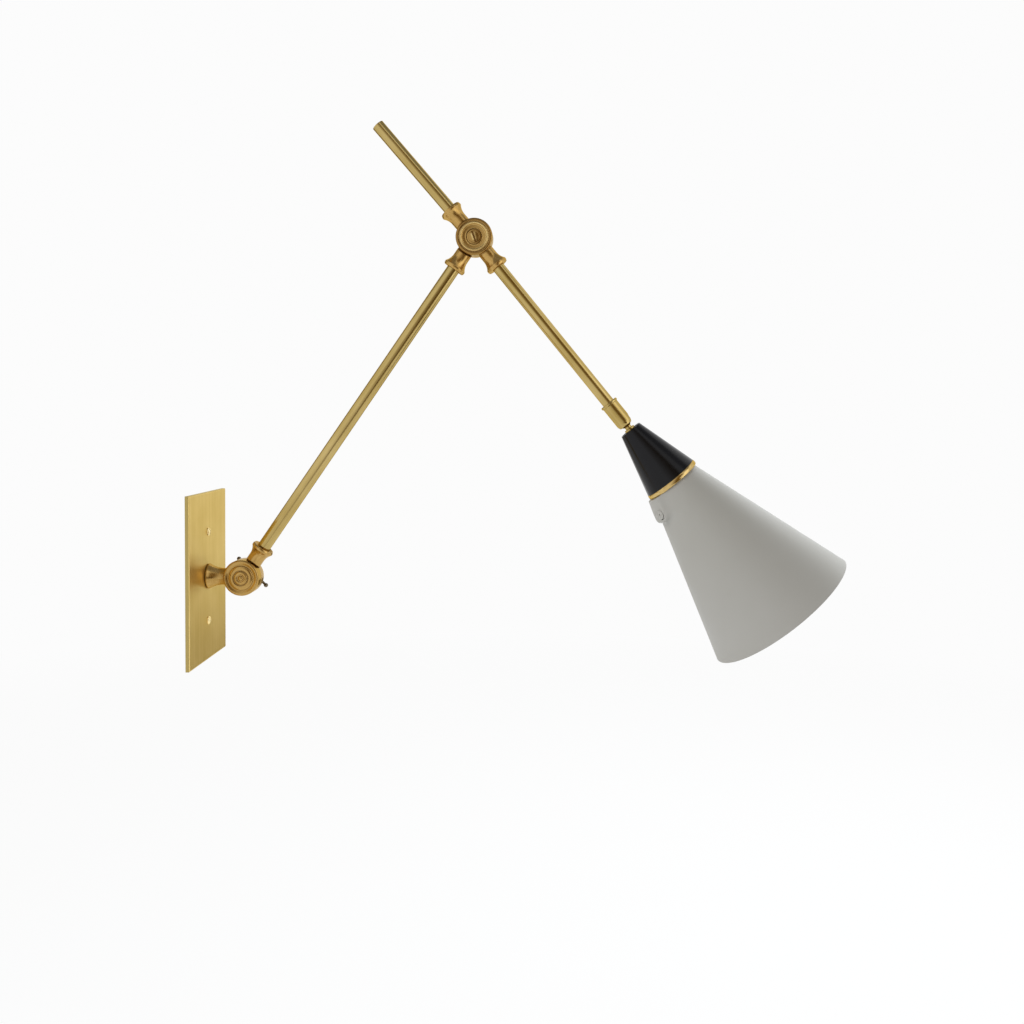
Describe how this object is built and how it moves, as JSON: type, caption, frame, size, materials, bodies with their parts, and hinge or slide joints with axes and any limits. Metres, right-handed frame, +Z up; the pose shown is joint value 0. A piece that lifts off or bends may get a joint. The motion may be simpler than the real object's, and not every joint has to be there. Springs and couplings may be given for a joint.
{
  "type": "swing arm wall lamp",
  "caption": "Jointed brass wall lamp with a flat wall plate, two arms with knuckle joints, a ball swivel and a long conical shade.",
  "frame": {"origin": "centre of the wall plate's back face, midway between the two wall screws", "axes": "+X out of the wall, +Z up, +Y completes the right-handed frame; at rest both arms lie in the plane Y = 0"},
  "size_m": [0.6481, 0.1568, 0.5301],
  "materials": {
    "brushed_brass": "satin brushed, lacquered",
    "cast_brass": "satin turned castings, slightly browner than the tubes",
    "polished_brass": "polished",
    "zinc_steel": "zinc plated",
    "fibre": "matte fibre",
    "black_lacquer": "gloss black paint on spun metal",
    "grey_paint": "matt warm grey paint outside, white inside",
    "black_plastic": "matte",
    "porcelain": "glazed insulator",
    "lead_jacket": "matte"
  },
  "bodies": {
    "wall_plate": {"backplate": "brushed_brass", "mounting_screws": "brushed_brass"},
    "stem": {"base_stem": "cast_brass", "stem_nipple": "cast_brass", "stem_spring_washer": "zinc_steel", "stem_lock_nut": "zinc_steel", "base_friction_washer": "fibre"},
    "clamp": {"clamp_screw": "cast_brass", "tommy_bar": "cast_brass", "tommy_bar_balls": "cast_brass"},
    "lower_arm": {"base_arm_hub": "cast_brass", "clamp_washer": "cast_brass", "lower_tube": "brushed_brass", "lower_tube_bushings": "black_plastic", "lower_lead": "lead_jacket", "elbow_lower_hub": "cast_brass", "elbow_pivot_screw": "cast_brass"},
    "upper_arm": {"elbow_upper_hub": "cast_brass", "elbow_friction_washer": "fibre", "elbow_spring_washer": "zinc_steel", "upper_tube": "brushed_brass", "upper_tube_bushings": "black_plastic", "upper_lead": "lead_jacket", "tail_tube": "brushed_brass", "tail_plug": "brushed_brass", "swivel_retainer": "cast_brass"},
    "swivel": {"swivel_collar": "brushed_brass", "swivel_sleeve": "brushed_brass", "ball_seat": "cast_brass"},
    "shade_head": {"swivel_ball": "cast_brass", "shade_cap": "black_lacquer", "cap_nut": "cast_brass", "socket_coupling": "cast_brass", "socket_nipple": "cast_brass", "socket_lead": "lead_jacket", "lampholder_cap": "cast_brass", "lampholder_shell": "black_plastic", "lampholder_insulator": "porcelain", "lampholder_screw_shell": "cast_brass", "lampholder_contact": "cast_brass", "cap_ring": "polished_brass", "shade": "grey_paint", "shade_ring_nut": "black_plastic", "switch_housing": "grey_paint", "switch_body": "black_plastic"},
    "button": {"switch_button": "grey_paint"}
  },
  "joints": [
    {"name": "base_swivel", "type": "hinge", "parent": "wall_plate", "child": "stem", "pos_m": [0, 0, 0], "axis": [1, 0, 0], "range_deg": [-90, 90]},
    {"name": "clamp_turn", "type": "hinge", "parent": "stem", "child": "clamp", "pos_m": [0.0395, 0, 0], "axis": [0, 1, 0], "range_deg": [-90, 90]},
    {"name": "lower_arm_tilt", "type": "hinge", "parent": "stem", "child": "lower_arm", "pos_m": [0.0395, 0, 0], "axis": [0, 1, 0], "range_deg": [-18, 76]},
    {"name": "elbow_tilt", "type": "hinge", "parent": "lower_arm", "child": "upper_arm", "pos_m": [0.26615, 0, 0.3354], "axis": [0, -1, 0], "range_deg": [-22, 52]},
    {"name": "head_swivel", "type": "hinge", "parent": "upper_arm", "child": "swivel", "pos_m": [0.40757, 0, 0.16687], "axis": [0.6428, 0, -0.766], "range_deg": [-90, 90]},
    {"name": "head_tilt", "type": "hinge", "parent": "swivel", "child": "shade_head", "pos_m": [0.41367, 0, 0.15959], "axis": [0, -1, 0], "range_deg": [-15, 84]},
    {"name": "switch_press", "type": "slide", "parent": "shade_head", "child": "button", "axis": [0.817, 0.4908, 0.3027], "range_m": [0, 0.0015], "stiffness_N_per_m": 300, "springref_m": -0.003}
  ]
}
